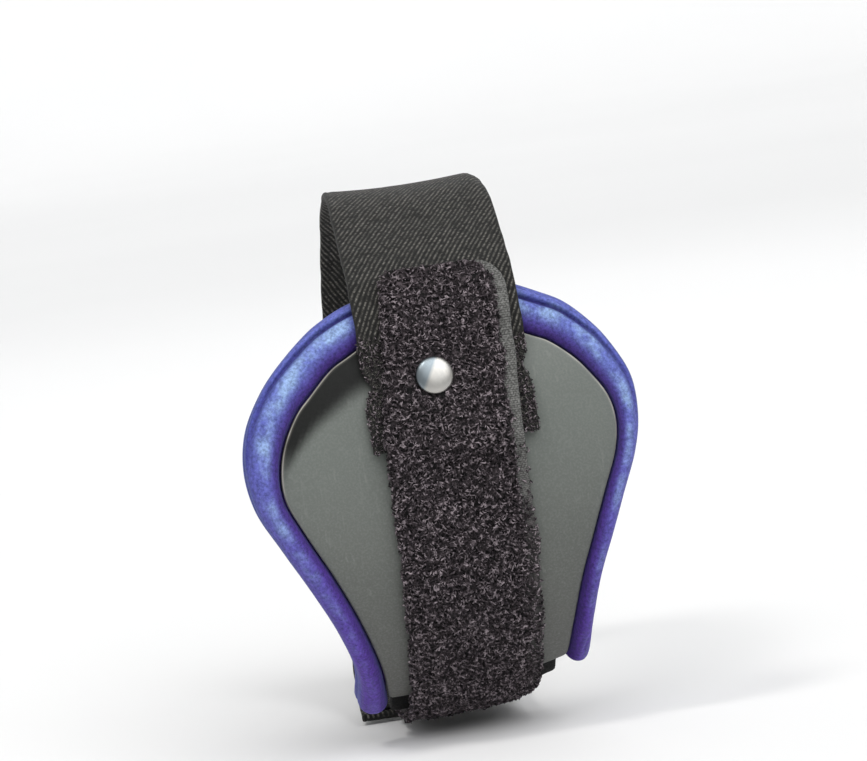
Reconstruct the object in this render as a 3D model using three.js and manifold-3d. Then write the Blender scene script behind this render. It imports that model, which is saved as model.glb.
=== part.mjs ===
// Tennis elbow strap, in the form it has when worn: a half-stiff shell on a padded horseshoe rim, held on the
// forearm by an elastic band and a loop-pile strap that fasten to each other underneath.
// Millimetres. +X runs along the forearm towards the hand, +Z is up, and the shell faces -Y.
// The origin is the centre of the opening for the forearm.
import * as THREE from 'three';
import { mergeVertices } from 'three/addons/utils/BufferGeometryUtils.js';
import Module from 'manifold-3d';

const wasm = await Module();
wasm.setup();

// Forearm section that the strap is wrapped on
const forearmDepth = 84;
const forearmAbove = 47.2;
const forearmBelow = 50.2;
const depthTaper = 0.024;
const undersideFall = 0.34;
const fallStart = 6;
const fallBlend = 8;
const bandBite = 0.8;
const biteLimit = 1.2;

// Pad outline, measured on the skin from the front line of the forearm
const padTop = 33;
const padLength = 85;
const padHalfWidth = 37;
const foamThickness = 3;
const foamEnd = -60;

// Rim roll
const rimWidth = 8;
const rimHeight = 6.6;
const rimSeat = 6;
const rimSeatReach = 0.5;
const rimSeatTaper = 16;
const rimEndRound = 3;
const rimEndFullness = 0.2;
const rimCorner = 0.8;
const rimBluntness = 0.8;

// Shell plate
const plateThickness = 1.5;
const plateEnd = -47.8;
const plateCorner = 1.2;

// Elastic band
const elasticWidth = 31;
const elasticThickness = 1.5;
const elasticFrontEnd = 3;
const elasticBackEnd = 75;
const elasticDrift = -7;
const elasticTautReach = 24;
const elasticSettle = 16;
const pinchDepth = 1.3;
const pinchReach = 2.6;

// Loop strap
const loopWidth = 25.4;
const loopThickness = 2.4;
const loopPressed = 1.4;
const loopTopEnd = 32;
const loopBackEnd = -125;
const loopTautReach = 28;
const loopElbowCorner = 2.5;
const loopHandCorner = 5.5;
const pressLead = 8;
const pressRun = 10;
const loopDrop = 4;

// Hook patch between the two free ends
const hookWidth = 29;
const hookLength = 40;
const hookThickness = 0.8;
const hookInset = 0.6;

// Rivet
const rivetAcross = -2.4;
const rivetAlong = 14.2;
const rivetCapRadius = 3.5;
const rivetCapHeight = 1.2;
const rivetShankRadius = 1.5;
const rivetFlangeRadius = 4;
const rivetFlangeThickness = 0.6;
const pileDent = 0.9;

// Clearances between pieces, and from the skin
const gap = 0.3;
const skinGap = 0.2;

// Heights above the skin, from the inside out
const plateInside = foamThickness + gap;
const plateOutside = plateInside + plateThickness;
const onPlate = plateOutside + gap;
const onRim = rimHeight + gap;

// Where the straps climb from the plate on to the rim, and where they leave it
const crestStart = padTop - rimWidth - 2;
const riseStart = crestStart - 4.5;
const crestEnd = padTop - rimWidth / 3;

// Mesh fineness, and how far below its apex a domed sheet starts
const topRow = 0.05;
const acrossSteps = 6;
const padSteps = 30;
const cornerSteps = 4;
const cornerClear = 1.2;
const rimStations = 64;
const rimArcSteps = 8;
const rimEndRows = [0, 0.2, 0.5, 1, 1.6, 2.3];
const loopEndRows = [0, 0.3, 0.9, 1.8, 3, 4.2];
const loopSteps = 60;
const elasticSteps = 72;
const pinchRows = [-2, -1.2, -0.6, 0, 0.6, 1.2, 2];
const hookSteps = 16;
const domeSteps = 5;
const roundSides = 24;
const leastRun = 0.1;
const slopeStep = 1e-3;

// The pad outline, from the top of the pad down to the tips of the rim. down is a share of padLength, elbow
// and hand are the outer edges as shares of padHalfWidth, and the two roll columns are the width of rim that
// shows beside the plate, as shares of rimWidth.
const outlineRows = [
  { down: 0.032, elbow: 0.41, hand: 0.35, elbowRoll: 1, handRoll: 1 },
  { down: 0.07, elbow: 0.605, hand: 0.535, elbowRoll: 1, handRoll: 1 },
  { down: 0.098, elbow: 0.698, hand: 0.647, elbowRoll: 0.95, handRoll: 0.96 },
  { down: 0.151, elbow: 0.838, hand: 0.769, elbowRoll: 0.95, handRoll: 0.87 },
  { down: 0.195, elbow: 0.927, hand: 0.841, elbowRoll: 0.9, handRoll: 0.8 },
  { down: 0.27, elbow: 1.027, hand: 0.921, elbowRoll: 0.87, handRoll: 0.68 },
  { down: 0.351, elbow: 1.062, hand: 0.93, elbowRoll: 0.78, handRoll: 0.5 },
  { down: 0.435, elbow: 1.033, hand: 0.889, elbowRoll: 0.66, handRoll: 0.44 },
  { down: 0.526, elbow: 0.932, hand: 0.809, elbowRoll: 0.61, handRoll: 0.44 },
  { down: 0.621, elbow: 0.821, hand: 0.727, elbowRoll: 0.6, handRoll: 0.44 },
  { down: 0.727, elbow: 0.715, hand: 0.637, elbowRoll: 0.56, handRoll: 0.42 },
  { down: 0.852, elbow: 0.642, hand: 0.577, elbowRoll: 0.57, handRoll: 0.45 },
  { down: 0.965, elbow: 0.65, hand: 0.548, elbowRoll: 0.72, handRoll: 0.54 },
  { down: 1, elbow: 0.645, hand: 0.525, elbowRoll: 0.75, handRoll: 0.6 },
];

// How the loop strap leans and narrows from its top end to its back end. along is a share of its reach above
// or below the front line, centre and width are shares of loopWidth.
const loopLean = [
  { along: 1, centre: 0.08, width: 0.92 },
  { along: 0.62, centre: 0.047, width: 0.95 },
  { along: 0.1, centre: -0.012, width: 1.01 },
  { along: -0.12, centre: -0.012, width: 1 },
  { along: -0.24, centre: -0.036, width: 0.985 },
  { along: -0.34, centre: -0.065, width: 0.95 },
  { along: -0.45, centre: -0.105, width: 0.93 },
  { along: -0.6, centre: -0.14, width: 0.97 },
  { along: -1, centre: -0.17, width: 1 },
];

// Half height of the forearm: the band bites into the top, and the underside rises towards the hand
function halfHeight(x, angle) {
  if (Math.sin(angle) > 0) {
    const across = Math.min(Math.abs(x) / (elasticWidth / 2), biteLimit);
    return forearmAbove + bandBite * across ** 2 * Math.sin(angle) ** 3;
  }
  const run = x - fallStart;
  return forearmBelow - (undersideFall / 2) * (run + Math.hypot(run, fallBlend));
}

// A point on the skin: angle 0 faces the front, a quarter turn is the top of the forearm
function skinPoint(x, angle) {
  const halfDepth = forearmDepth / 2 - depthTaper * x;
  return new THREE.Vector3(x, -halfDepth * Math.cos(angle), halfHeight(x, angle) * Math.sin(angle));
}

function skinNormal(x, angle) {
  const around = skinPoint(x, angle + slopeStep).sub(skinPoint(x, angle - slopeStep));
  const along = skinPoint(x + slopeStep, angle).sub(skinPoint(x - slopeStep, angle));
  return along.cross(around).normalize();
}

// Lengths round the skin at the origin, counted from the front line, against the angle
const girthSteps = 1080;
const firstAngle = -Math.PI;
const lastAngle = 2 * Math.PI;
const girthTable = [{ angle: firstAngle, length: 0 }];
for (let i = 1; i <= girthSteps; i += 1) {
  const angle = firstAngle + ((lastAngle - firstAngle) * i) / girthSteps;
  const before = girthTable[i - 1];
  const length = before.length + skinPoint(0, angle).distanceTo(skinPoint(0, before.angle));
  girthTable.push({ angle, length });
}
const frontLength = girthTable[girthSteps / 3].length;
const girth = girthTable[(2 * girthSteps) / 3].length;

function angleAt(along) {
  const length = along + frontLength;
  let low = 0;
  let high = girthSteps;
  while (high - low > 1) {
    const middle = Math.floor((low + high) / 2);
    if (girthTable[middle].length < length) low = middle;
    else high = middle;
  }
  const [below, above] = [girthTable[low], girthTable[high]];
  const share = (length - below.length) / (above.length - below.length);
  return below.angle + share * (above.angle - below.angle);
}

// A place on the worn strap: x along the forearm, along the skin from the front line, height above the skin
function place(x, along, height) {
  const angle = angleAt(along);
  return skinPoint(x, angle).addScaledVector(skinNormal(x, angle), height);
}

function smooth(share) {
  const u = Math.min(Math.max(share, 0), 1);
  return u * u * (3 - 2 * u);
}

// Reads a table of rows sorted by key, easing smoothly from row to row
function eased(rows, key, value, at) {
  if ((at - rows[0][key]) * (rows[1][key] - rows[0][key]) <= 0) return rows[0][value];
  for (let i = 1; i < rows.length; i += 1) {
    const share = (at - rows[i - 1][key]) / (rows[i][key] - rows[i - 1][key]);
    if (share <= 1) return rows[i - 1][value] + smooth(share) * (rows[i][value] - rows[i - 1][value]);
  }
  return rows[rows.length - 1][value];
}

// What a round corner takes off the width at a distance from a cut end
function cornerCut(distance, radius) {
  if (distance >= radius) return 0;
  return radius - Math.sqrt(radius ** 2 - (radius - distance) ** 2);
}

function bodyFromFaces(points, faces) {
  const flat = faces.flatMap((face) => face.flatMap((index) => points[index].toArray()));
  const geometry = new THREE.BufferGeometry();
  geometry.setAttribute('position', new THREE.Float32BufferAttribute(flat, 3));
  geometry.computeVertexNormals();
  return geometry;
}

// A closed sheet from rows across it, each with left and right edges and inside and outside heights
function sheetBody(unsorted) {
  const rows = [...unsorted].sort((a, b) => b.along - a.along);
  const points = [];
  const faces = [];
  const half = acrossSteps + 1;
  for (const row of rows) {
    for (const side of ['inside', 'outside']) {
      for (let j = 0; j <= acrossSteps; j += 1) {
        const x = row.left + ((row.right - row.left) * j) / acrossSteps;
        points.push(place(x, row.along, row[side]));
      }
    }
  }
  const at = (row, side, j) => row * 2 * half + side * half + j;
  const quad = (a, b, c, d) => faces.push([a, c, b], [a, d, c]);
  for (let i = 1; i < rows.length; i += 1) {
    for (let j = 1; j <= acrossSteps; j += 1) {
      quad(at(i - 1, 1, j - 1), at(i - 1, 1, j), at(i, 1, j), at(i, 1, j - 1));
      quad(at(i, 0, j - 1), at(i, 0, j), at(i - 1, 0, j), at(i - 1, 0, j - 1));
    }
    quad(at(i - 1, 0, 0), at(i - 1, 1, 0), at(i, 1, 0), at(i, 0, 0));
    quad(at(i, 0, acrossSteps), at(i, 1, acrossSteps), at(i - 1, 1, acrossSteps), at(i - 1, 0, acrossSteps));
  }
  const last = rows.length - 1;
  for (let j = 1; j <= acrossSteps; j += 1) {
    quad(at(0, 0, j - 1), at(0, 0, j), at(0, 1, j), at(0, 1, j - 1));
    quad(at(last, 1, j - 1), at(last, 1, j), at(last, 0, j), at(last, 0, j - 1));
  }
  return bodyFromFaces(points, faces);
}

// A closed roll through sections that all have the same number of points
function rollBody(sections) {
  const count = sections[0].length;
  const points = sections.flat();
  const faces = [];
  for (let i = 1; i < sections.length; i += 1) {
    for (let j = 0; j < count; j += 1) {
      const next = (j + 1) % count;
      const a = (i - 1) * count + j;
      const b = (i - 1) * count + next;
      faces.push([a, b + count, a + count], [a, b, b + count]);
    }
  }
  for (const [row, flip] of [[0, false], [sections.length - 1, true]]) {
    const centre = new THREE.Vector3();
    for (const point of sections[row]) centre.addScaledVector(point, 1 / count);
    points.push(centre);
    for (let j = 0; j < count; j += 1) {
      const a = row * count + j;
      const b = row * count + ((j + 1) % count);
      faces.push(flip ? [points.length - 1, a, b] : [points.length - 1, b, a]);
    }
  }
  return bodyFromFaces(points, faces);
}

function toSolid(geometry) {
  const bare = geometry.clone();
  bare.deleteAttribute('normal');
  bare.deleteAttribute('uv');
  const merged = mergeVertices(bare, 1e-5);
  return new wasm.Manifold(new wasm.Mesh({
    numProp: 3,
    vertProperties: new Float32Array(merged.attributes.position.array),
    triVerts: new Uint32Array(merged.index.array),
  }));
}

function fromSolid(solid) {
  const mesh = solid.getMesh();
  const indexed = new THREE.BufferGeometry();
  indexed.setAttribute('position', new THREE.BufferAttribute(new Float32Array(mesh.vertProperties), 3));
  indexed.setIndex(new THREE.BufferAttribute(new Uint32Array(mesh.triVerts), 1));
  const geometry = indexed.toNonIndexed();
  geometry.computeVertexNormals();
  return geometry;
}

// Turns a body of revolution about Y on to the rivet's axis, with y as the height above the skin
function ontoRivetAxis(geometry) {
  const angle = angleAt(rivetAlong);
  const normal = skinNormal(rivetAcross, angle);
  const turn = new THREE.Quaternion().setFromUnitVectors(new THREE.Vector3(0, 1, 0), normal);
  const foot = skinPoint(rivetAcross, angle);
  return geometry.clone().applyQuaternion(turn).translate(foot.x, foot.y, foot.z);
}

function rivetCutter(radius, from, to) {
  const cylinder = new THREE.CylinderGeometry(radius, radius, to - from, roundSides);
  return toSolid(ontoRivetAxis(cylinder.translate(0, (from + to) / 2, 0)));
}

// The outline of the pad as one smooth run from the elbow-side tip over the top to the hand-side tip.
// z holds the width of rim that shows there.
const outlineCurve = new THREE.CatmullRomCurve3(
  [
    ...outlineRows.map((row) => new THREE.Vector3(
      -row.elbow * padHalfWidth,
      padTop - row.down * padLength,
      row.elbowRoll * rimWidth,
    )).reverse(),
    new THREE.Vector3(0, padTop, rimWidth),
    ...outlineRows.map((row) => new THREE.Vector3(
      row.hand * padHalfWidth,
      padTop - row.down * padLength,
      row.handRoll * rimWidth,
    )),
  ],
  false,
  'centripetal',
);

const outlineLength = outlineCurve.getLength();

function outlineStation(share) {
  const point = outlineCurve.getPointAt(share);
  const before = outlineCurve.getPointAt(Math.max(share - slopeStep, 0));
  const after = outlineCurve.getPointAt(Math.min(share + slopeStep, 1));
  const run = new THREE.Vector2(after.x - before.x, after.y - before.y).normalize();
  const fromTip = Math.min(share, 1 - share) * outlineLength;
  return { x: point.x, along: point.y, shows: point.z, inward: new THREE.Vector2(run.y, -run.x), fromTip };
}

const outlineStations = [];
for (let i = 0; i <= rimStations; i += 1) outlineStations.push(outlineStation(i / rimStations));

// Width of the rim's foot, which reaches under the edge of the plate and draws back at the two tips
function seatWidth(station) {
  const full = Math.max(station.shows + rimSeatReach, rimSeat);
  return station.shows + (full - station.shows) * smooth(station.fromTip / rimSeatTaper);
}

// The line that lies a given distance inside the outline, as the function from along to the two edges
function insetEdges(inset) {
  const line = outlineStations.map((station) => ({
    x: station.x + station.inward.x * inset(station),
    along: station.along + station.inward.y * inset(station),
  }));
  const apex = line.reduce((best, point, i) => (point.along > line[best].along ? i : best), 0);
  const crossing = (points, along) => {
    for (let i = 1; i < points.length; i += 1) {
      const [a, b] = [points[i - 1], points[i]];
      if ((a.along - along) * (b.along - along) <= 0 && a.along !== b.along) {
        return a.x + ((b.x - a.x) * (along - a.along)) / (b.along - a.along);
      }
    }
    const last = points[points.length - 1];
    return along < last.along ? last.x : points[0].x;
  };
  return {
    top: line[apex].along,
    left: (along) => crossing(line.slice(0, apex + 1).reverse(), along),
    right: (along) => crossing(line.slice(apex), along),
  };
}

// Rows down a sheet that fills the inside of the rim, closer together at the domed top
function padRows(edges, end, corner, inside, outside) {
  const start = edges.top - topRow;
  const alongs = [];
  for (let i = 0; i <= padSteps; i += 1) {
    alongs.push(start + (end - start) * (1 - Math.cos((Math.PI * i) / (2 * padSteps))));
  }
  const kept = alongs.filter((along) => along > end + corner * cornerClear);
  for (let i = 0; i <= cornerSteps; i += 1) {
    kept.push(end + corner * (1 - Math.sin((Math.PI * i) / (2 * cornerSteps))));
  }
  return kept.map((along) => {
    const cut = cornerCut(along - end, corner);
    return { along, left: edges.left(along) + cut, right: edges.right(along) - cut, inside, outside };
  });
}

// Black foam pad behind the plate. Its lower end comes out below the plate, between the ends of the rim.
function foamPad() {
  const edges = insetEdges((station) => seatWidth(station) + gap);
  const rows = padRows(edges, foamEnd, plateCorner, 0, foamThickness);
  const pocketFloor = plateInside - gap - rivetFlangeThickness - gap;
  const pocket = rivetCutter(rivetFlangeRadius + gap, pocketFloor, foamThickness + 1);
  return fromSolid(toSolid(sheetBody(rows)).subtract(pocket));
}

// One section of the rim: a foot that reaches under the plate's edge, and a round roll above it.
// fullness is 1 along the rim and falls to a small end face at the tips.
function rimSection(station, fullness) {
  const shows = station.shows * fullness;
  const seat = seatWidth(station) * fullness;
  const start = (station.shows * (1 - fullness)) / 2;
  const shoulder = foamThickness;
  const corner = rimCorner * fullness;
  const outline = [];
  for (let i = 0; i <= rimArcSteps; i += 1) {
    const turn = (Math.PI * i) / rimArcSteps;
    const rise = (rimHeight - shoulder) * fullness * Math.abs(Math.sin(turn)) ** rimBluntness;
    outline.push([start + (shows / 2) * (1 - Math.cos(turn)), shoulder + rise]);
  }
  outline.push([start + seat, shoulder], [start + seat, corner], [start + seat - corner, 0]);
  outline.push([start + corner, 0], [start, corner]);
  return outline.map(([inwards, height]) => place(
    station.x + station.inward.x * inwards,
    station.along + station.inward.y * inwards,
    height,
  ));
}

// Horseshoe roll in blue fabric, with two rounded ends
function padRim() {
  const endShares = rimEndRows.map((distance) => distance / outlineLength);
  const shares = [
    ...endShares,
    ...outlineStations.map((station, i) => i / rimStations),
    ...endShares.map((share) => 1 - share),
  ].sort((a, b) => a - b);
  const sections = [];
  shares.forEach((share, i) => {
    if (i > 0 && (share - shares[i - 1]) * outlineLength < leastRun) return;
    const station = outlineStation(share);
    const within = Math.min(station.fromTip / rimEndRound, 1);
    const fullness = Math.max(Math.sqrt(1 - (1 - within) ** 2), rimEndFullness);
    sections.push(rimSection(station, fullness));
  });
  return rollBody(sections);
}

// Grey half-stiff plate, bent to the forearm, seated in the rim
function shellPlate() {
  const edges = insetEdges((station) => station.shows + gap);
  const rows = padRows(edges, plateEnd, plateCorner, plateInside, plateOutside);
  const hole = rivetCutter(rivetShankRadius + gap, 0, rimHeight + loopThickness);
  return fromSolid(toSolid(sheetBody(rows)).subtract(hole));
}

// Height of the loop strap's inside above the skin, down to where it leaves the foam pad
const loopHeights = [
  { along: crestStart, height: onRim + elasticThickness + gap },
  { along: riseStart, height: onPlate + elasticThickness + gap },
  { along: elasticFrontEnd, height: onPlate + elasticThickness + gap },
  { along: elasticFrontEnd - loopDrop, height: onPlate },
  { along: plateEnd, height: onPlate },
  { along: foamEnd, height: foamThickness + gap },
];

// A taut band leaves a step in a straight line until it meets the skin, so its height falls with the square
function tautHeight(distance, reach, step) {
  const left = Math.min(Math.max(1 - distance / reach, 0), 1);
  return skinGap + (step - skinGap) * left ** 2;
}

function loopInside(along) {
  if (along < foamEnd) return tautHeight(foamEnd - along, loopTautReach, foamThickness + gap);
  return eased(loopHeights, 'along', 'height', along);
}

// The pile is pressed flat where the free end of the elastic holds it
function loopThicknessAt(along) {
  const pressed = smooth((pressLead - elasticBackEnd - along) / pressRun);
  return loopThickness + pressed * (loopPressed - loopThickness);
}

// Charcoal loop-pile strap on top of the elastic and down over the plate to the underside
function loopStrap() {
  const alongs = loopEndRows.map((distance) => loopTopEnd - distance);
  const start = loopTopEnd - loopHandCorner;
  for (let i = 0; i <= loopSteps; i += 1) alongs.push(start + ((loopBackEnd - start) * i) / loopSteps);
  const rows = alongs.map((along) => {
    const share = along > 0 ? along / loopTopEnd : along / -loopBackEnd;
    const centre = eased(loopLean, 'along', 'centre', share) * loopWidth;
    const half = (eased(loopLean, 'along', 'width', share) * loopWidth) / 2;
    const left = centre - half + cornerCut(loopTopEnd - along, loopElbowCorner);
    const right = centre + half - cornerCut(loopTopEnd - along, loopHandCorner);
    const inside = loopInside(along);
    return { along, left, right, inside, outside: inside + loopThicknessAt(along) };
  });
  const top = loopInside(rivetAlong) + loopThickness;
  const hole = rivetCutter(rivetShankRadius + gap, 0, top + 1);
  const dent = rivetCutter(rivetCapRadius + gap, top - pileDent - gap, top + 2);
  return fromSolid(toSolid(sheetBody(rows)).subtract(hole).subtract(dent));
}

// Height of the elastic's inside above the skin: up from the plate on to the rim, down to the skin, round the
// back, and up again over the back end of the loop strap and the hook patch
const elasticHeights = [
  { along: riseStart, height: onPlate },
  { along: crestStart, height: onRim },
];

function overPatch(along) {
  return loopInside(along) + loopThicknessAt(along) + gap + hookThickness + gap;
}

function elasticInside(along) {
  const patchStart = girth + loopBackEnd - gap * 2;
  if (along <= crestEnd) return eased(elasticHeights, 'along', 'height', along);
  if (along >= patchStart) return overPatch(along - girth);
  const offRim = tautHeight(along - crestEnd, elasticTautReach, onRim);
  const ontoPatch = tautHeight(patchStart - along, elasticSettle, overPatch(patchStart - girth));
  return Math.max(offRim, ontoPatch);
}

// The elastic drifts towards the elbow on its way round
function elasticCentre(along) {
  const topOfArm = girth / 4;
  return elasticDrift * smooth((along - topOfArm) / (girth - elasticBackEnd - topOfArm));
}

// Black twill elastic from its cut end on the plate over the top, round the back and up to the underside
function elasticStrap() {
  const reach = girth - elasticBackEnd - elasticFrontEnd;
  const all = pinchRows.map((share) => rivetAlong + share * pinchReach);
  for (let i = 0; i <= elasticSteps; i += 1) all.push(elasticFrontEnd + (reach * i) / elasticSteps);
  all.sort((a, b) => a - b);
  const alongs = all.filter((along, i) => i === 0 || along - all[i - 1] > leastRun);
  const rows = alongs.map((along) => {
    const pinch = pinchDepth * Math.exp(-2 * ((along - rivetAlong) / pinchReach) ** 2);
    const half = elasticWidth / 2 - pinch;
    const centre = elasticCentre(along);
    const inside = elasticInside(along);
    return { along, left: centre - half, right: centre + half, inside, outside: inside + elasticThickness };
  });
  const hole = rivetCutter(rivetShankRadius + gap, 0, onRim + loopThickness);
  return fromSolid(toSolid(sheetBody(rows)).subtract(hole));
}

// Plain hook patch between the elastic's free end and the loop strap
function hookPatch() {
  const rows = [];
  const start = -elasticBackEnd - hookInset;
  for (let i = 0; i <= hookSteps; i += 1) {
    const along = start - (hookLength * i) / hookSteps;
    const centre = elasticCentre(girth + along) + (elasticWidth - hookWidth) / 2 - hookInset / 2;
    const inside = loopInside(along) + loopThicknessAt(along) + gap;
    const outside = inside + hookThickness;
    rows.push({ along, left: centre - hookWidth / 2, right: centre + hookWidth / 2, inside, outside });
  }
  return sheetBody(rows);
}

// Domed rivet through loop strap, elastic and plate, with its flange behind the plate
function rivetBody() {
  const capFoot = loopInside(rivetAlong) + loopThickness - pileDent;
  const flangeTop = plateInside - gap;
  const flangeFoot = flangeTop - rivetFlangeThickness;
  const profile = [
    new THREE.Vector2(0, flangeFoot),
    new THREE.Vector2(rivetFlangeRadius, flangeFoot),
    new THREE.Vector2(rivetFlangeRadius, flangeTop),
    new THREE.Vector2(rivetShankRadius, flangeTop),
    new THREE.Vector2(rivetShankRadius, capFoot),
    new THREE.Vector2(rivetCapRadius, capFoot),
  ];
  for (let i = 1; i < domeSteps; i += 1) {
    const turn = (Math.PI / 2) * (i / domeSteps);
    const height = capFoot + rivetCapHeight * Math.sin(turn);
    profile.push(new THREE.Vector2(rivetCapRadius * Math.cos(turn), height));
  }
  profile.push(new THREE.Vector2(0, capFoot + rivetCapHeight));
  return ontoRivetAxis(new THREE.LatheGeometry(profile, roundSides));
}

const finishes = {
  foam: { color: 0x0b0b0c, roughness: 0.95, metalness: 0 },
  rimFabric: { color: 0x4a48a8, roughness: 0.8, metalness: 0 },
  plastic: { color: 0x666a67, roughness: 0.4, metalness: 0 },
  elastic: { color: 0x34352f, roughness: 0.85, metalness: 0 },
  pile: { color: 0x39343a, roughness: 0.95, metalness: 0 },
  hook: { color: 0x161617, roughness: 0.7, metalness: 0 },
  metal: { color: 0xd9d6cc, roughness: 0.3, metalness: 1 },
};

const pieces = [
  ['foam_pad', foamPad, 'foam'],
  ['pad_rim', padRim, 'rimFabric'],
  ['shell_plate', shellPlate, 'plastic'],
  ['elastic_strap', elasticStrap, 'elastic'],
  ['loop_strap', loopStrap, 'pile'],
  ['hook_patch', hookPatch, 'hook'],
  ['rivet', rivetBody, 'metal'],
];

const group = new THREE.Group();
for (const [name, make, finish] of pieces) {
  const mesh = new THREE.Mesh(make(), new THREE.MeshStandardMaterial(finishes[finish]));
  mesh.name = name;
  group.add(mesh);
}

export default group;
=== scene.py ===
# Tennis elbow strap in its worn shape: foam pad, rolled rim, plate, loop strap, elastic, hook patch, rivet.
# Sizes are in millimetres, and become metres as each mesh is made.
import math

import bmesh
import bpy
import numpy as np
from mathutils import Matrix, Vector
from mathutils.geometry import delaunay_2d_cdt


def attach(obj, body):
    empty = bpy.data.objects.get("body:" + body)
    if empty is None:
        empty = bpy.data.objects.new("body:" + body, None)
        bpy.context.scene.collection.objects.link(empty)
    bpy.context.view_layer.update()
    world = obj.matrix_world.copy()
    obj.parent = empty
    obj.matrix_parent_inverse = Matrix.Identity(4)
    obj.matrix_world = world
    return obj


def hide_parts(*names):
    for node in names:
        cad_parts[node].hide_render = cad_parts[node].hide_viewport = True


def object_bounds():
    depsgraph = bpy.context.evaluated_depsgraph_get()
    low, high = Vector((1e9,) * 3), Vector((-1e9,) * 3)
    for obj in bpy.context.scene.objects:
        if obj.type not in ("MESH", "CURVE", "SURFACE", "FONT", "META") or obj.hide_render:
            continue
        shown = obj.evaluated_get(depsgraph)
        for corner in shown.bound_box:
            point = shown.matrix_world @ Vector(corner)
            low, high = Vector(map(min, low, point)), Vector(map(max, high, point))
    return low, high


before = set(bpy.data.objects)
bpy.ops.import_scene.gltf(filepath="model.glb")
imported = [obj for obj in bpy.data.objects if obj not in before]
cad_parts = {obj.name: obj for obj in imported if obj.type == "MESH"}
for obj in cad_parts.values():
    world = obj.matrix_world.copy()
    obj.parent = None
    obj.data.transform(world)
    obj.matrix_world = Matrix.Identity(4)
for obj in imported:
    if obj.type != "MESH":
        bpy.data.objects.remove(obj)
cad_box = [list(corner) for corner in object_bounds()]

# Foam pad
# Black closed-cell foam, 3 mm thick, die cut to the shape inside the rim and bent to the worn curve. It lies
# innermost, and its lower end comes out below the plate between the two ends of the rim.
worn_depth = 84.0
worn_above = 47.2
worn_below = 50.2
depth_taper = 0.024
underside_fall = 0.34
fall_start = 6.0
fall_blend = 8.0
band_bite = 0.8
bite_limit = 1.2
elastic_width = 31.0
gap = 0.3
inside_gap = 0.2
half_turn_steps = 360

pad_top = 33.0
pad_length = 85.0
pad_half_width = 37.0
knot_steps = 30
rim_steps = 520
rim_width = 8.0
rim_seat = 6.0
rim_seat_reach = 0.5
rim_seat_taper = 16.0
plate_corner = 1.2
foam_thickness = 3.0
foam_end = -60.0
foam_edge_round = 0.5

rivet_across = -2.4
rivet_along = 14.2
rivet_pocket_radius = 4.3
hole_sides = 32

# down is a share of pad_length, left and right are outer edges as shares of pad_half_width, and each roll is
# the width of rim that shows beside the plate as a share of rim_width
outline_rows = [
    # down, left, right, left roll, right roll
    (0.032, 0.41, 0.35, 1, 1),
    (0.07, 0.605, 0.535, 1, 1),
    (0.098, 0.698, 0.647, 0.95, 0.96),
    (0.151, 0.838, 0.769, 0.95, 0.87),
    (0.195, 0.927, 0.841, 0.9, 0.8),
    (0.27, 1.027, 0.921, 0.87, 0.68),
    (0.351, 1.062, 0.93, 0.78, 0.5),
    (0.435, 1.033, 0.889, 0.66, 0.44),
    (0.526, 0.932, 0.809, 0.61, 0.44),
    (0.621, 0.821, 0.727, 0.6, 0.44),
    (0.727, 0.715, 0.637, 0.56, 0.42),
    (0.852, 0.642, 0.577, 0.57, 0.45),
    (0.965, 0.65, 0.548, 0.72, 0.54),
    (1.0, 0.645, 0.525, 0.75, 0.6),
]


def half_height(x, angle):
    """Half height of the worn shape: the band bites into its top, and its underside rises to the right."""
    rise = np.sin(angle)
    across = np.minimum(np.abs(x) / (elastic_width / 2), bite_limit)
    run = x - fall_start
    below = worn_below - underside_fall / 2 * (run + np.hypot(run, fall_blend))
    return np.where(rise > 0, worn_above + band_bite * across**2 * rise**3, below)


def wrap_point(x, angle):
    """Point of the surface that the flat patterns are wrapped round."""
    half_depth = worn_depth / 2 - depth_taper * x
    return np.stack([x, -half_depth * np.cos(angle), half_height(x, angle) * np.sin(angle)], axis=-1)


def wrap_normal(x, angle, step=1e-3):
    around = wrap_point(x, angle + step) - wrap_point(x, angle - step)
    along = wrap_point(x + step, angle) - wrap_point(x - step, angle)
    normal = np.cross(along, around)
    return normal / np.linalg.norm(normal, axis=-1, keepdims=True)


def steps(line):
    """Distance from each point of a line to the next."""
    return np.linalg.norm(np.diff(line, axis=0), axis=1)


def reach_along(line):
    """Distance along a line from its first point to each of its points."""
    return np.concatenate([[0], np.cumsum(steps(line))])


turn_angles = np.linspace(-math.pi, 2 * math.pi, 3 * half_turn_steps + 1)
turn_lengths = reach_along(wrap_point(np.zeros_like(turn_angles), turn_angles))
front_length = turn_lengths[half_turn_steps]
girth = turn_lengths[2 * half_turn_steps]


def place(x, along, height):
    """Metres, from x across the pattern, the length round it from the front line and the height above it."""
    x, along, height = np.broadcast_arrays(*(np.asarray(v, float) for v in (x, along, height)))
    angle = np.interp(along + front_length, turn_lengths, turn_angles)
    return (wrap_point(x, angle) + wrap_normal(x, angle) * height[..., None]) * 0.001


def smooth(share):
    u = np.clip(share, 0, 1)
    return u * u * (3 - 2 * u)


def bell(distance, width):
    return np.exp(-((distance / width) ** 2))


def grain(u, v, cell, seed):
    """Smooth random relief from -1 to 1 with a cell size in millimetres."""
    size, shift = 256, 40
    lattice = np.random.default_rng(seed).uniform(-1, 1, (size, size))
    a, b = np.asarray(u, float) / cell + shift, np.asarray(v, float) / cell + shift
    i, j = np.floor(a).astype(int), np.floor(b).astype(int)
    s, t = smooth(a - i), smooth(b - j)

    def at(row, column):
        return lattice[row % size, column % size]

    low = at(i, j) * (1 - s) + at(i + 1, j) * s
    high = at(i, j + 1) * (1 - s) + at(i + 1, j + 1) * s
    return low * (1 - t) + high * t


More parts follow.
